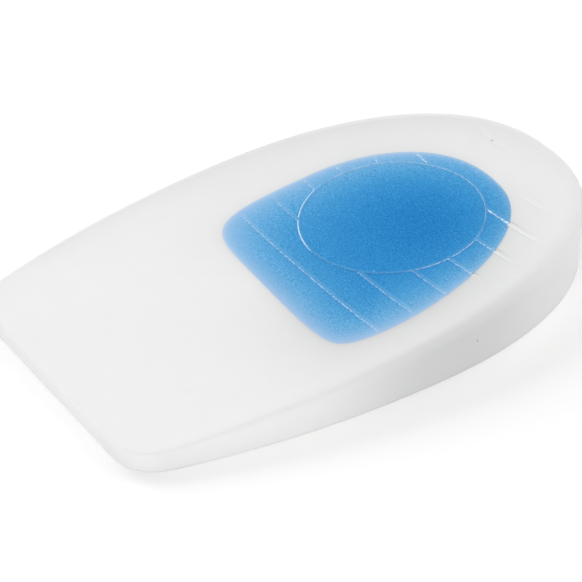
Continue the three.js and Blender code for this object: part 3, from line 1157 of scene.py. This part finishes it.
class HEELPAD_OT_heel_ribs(bpy.types.Operator):
    """Make the low ribs that are moulded on the white rim round the heel"""

    bl_idname = "heelpad.heel_ribs"
    bl_label = "Make Heel Ribs"

    def execute(self, context):
        settings = context.scene.heel_pad
        # the ribs' copy of the white silicone carries painted light and painted shade
        material = white_silicone(settings.looks, "white_silicone_ribs", 0.0, on_ribs=True)
        piece = make_relief(settings.relief, "heel_ribs", "white_wedge", material, with_ring=False)
        place_in_frame(piece, "pad_body")
        return {"FINISHED"}


# Stage


def turned_axes(stage):
    """Right, up and back of the camera."""
    azimuth, elevation = stage.azimuth, stage.elevation
    back = Vector((
        math.sin(azimuth) * math.cos(elevation),
        -math.cos(azimuth) * math.cos(elevation),
        math.sin(elevation),
    ))
    level = Vector((math.cos(azimuth), math.sin(azimuth), 0.0))
    upward = back.cross(level)
    right = math.cos(stage.roll) * level + math.sin(stage.roll) * upward
    up = math.cos(stage.roll) * upward - math.sin(stage.roll) * level
    return right, up, back


def add_camera(scene, stage):
    camera = bpy.data.cameras.new("camera")
    camera.lens = stage.lens
    camera.clip_start = 0.01
    holder = bpy.data.objects.new("camera", camera)
    right, up, back = turned_axes(stage)
    turn = Matrix((right, up, back)).transposed().to_4x4()
    holder.matrix_world = Matrix.Translation(Vector(stage.aim) + back * stage.distance) @ turn
    scene.collection.objects.link(holder)
    scene.camera = holder


def add_softbox(scene, box):
    light = bpy.data.lights.new(box.name, "AREA")
    light.shape = "SQUARE"
    light.size = box.size
    light.energy = box.power
    holder = bpy.data.objects.new(box.name, light)
    place = Vector((box.x, box.y, box.z))
    holder.location = place
    holder.rotation_euler = place.to_track_quat("Z", "Y").to_euler()
    scene.collection.objects.link(holder)


def add_floor(stage):
    corners = [(FLOOR_REACH * x, FLOOR_REACH * y, 0) for x, y in ((-1, -1), (1, -1), (1, 1), (-1, 1))]
    mesh = bpy.data.meshes.new("studio_floor")
    mesh.from_pydata(corners, [], [(0, 1, 2, 3)])
    floor = new_piece("studio_floor", mesh)
    material, graph = new_material("studio_floor")
    far = graph.smooth(graph.apart(graph.place(), (0.0, 0.0, 0.0)), FAR_FLOOR_START, FAR_FLOOR_FULL)
    glow = graph.mix(far, (0.0, 0.0, 0.0, 1.0), colour([FAR_FLOOR_LIGHT] * 3))
    fixed = {"Base Color": colour(stage.floor_colour), "Roughness": 0.7, "Emission Strength": 1.0}
    finish_material(graph, fixed, {"Emission Color": glow})
    mesh.materials.append(material)


class HEELPAD_OT_stage(bpy.types.Operator):
    """Make the pale floor, the soft light and the camera"""

    bl_idname = "heelpad.stage"
    bl_label = "Make Stage"

    def execute(self, context):
        scene = context.scene
        stage = scene.heel_pad.stage
        add_floor(stage)
        for box in SOFTBOXES:
            add_softbox(scene, box)
        scene.world = bpy.data.worlds.new("studio")
        scene.world.use_nodes = True
        surroundings = scene.world.node_tree.nodes["Background"]
        surroundings.inputs["Color"].default_value = (1.0, 1.0, 1.0, 1.0)
        surroundings.inputs["Strength"].default_value = stage.world_strength
        scene.view_settings.view_transform = "Standard"
        add_camera(scene, stage)
        return {"FINISHED"}


OPERATORS = (
    HEELPAD_OT_stage,
    HEELPAD_OT_wedge,
    HEELPAD_OT_insert,
    HEELPAD_OT_insert_relief,
    HEELPAD_OT_heel_ribs,
)


class HEELPAD_PT_sidebar(bpy.types.Panel):
    """Sizes, colours and steps of the heel pad"""

    bl_idname = "HEELPAD_PT_sidebar"
    bl_label = "Silicone Heel Pad"
    bl_space_type = "VIEW_3D"
    bl_region_type = "UI"
    bl_category = "Heel Pad"

    def draw(self, context):
        for group_name in HeelPadSettings.__annotations__:
            group = getattr(context.scene.heel_pad, group_name)
            column = self.layout.column(heading=group_name.title())
            for prop in type(group).__annotations__:
                column.prop(group, prop)
        for operator in OPERATORS:
            self.layout.operator(operator.bl_idname)


CLASSES = (
    PadShape,
    InsertShape,
    ReliefShape,
    SiliconeLooks,
    StageLooks,
    HeelPadSettings,
    *OPERATORS,
    HEELPAD_PT_sidebar,
)


def register():
    for cls in CLASSES:
        bpy.utils.register_class(cls)
    bpy.types.Scene.heel_pad = PointerProperty(type=HeelPadSettings)


def unregister():
    del bpy.types.Scene.heel_pad
    for cls in reversed(CLASSES):
        bpy.utils.unregister_class(cls)


def main():
    register()
    bpy.ops.heelpad.stage()
    bpy.ops.heelpad.wedge()
    bpy.ops.heelpad.insert()
    bpy.ops.heelpad.insert_relief()
    bpy.ops.heelpad.heel_ribs()


if __name__ == "__main__":
    main()
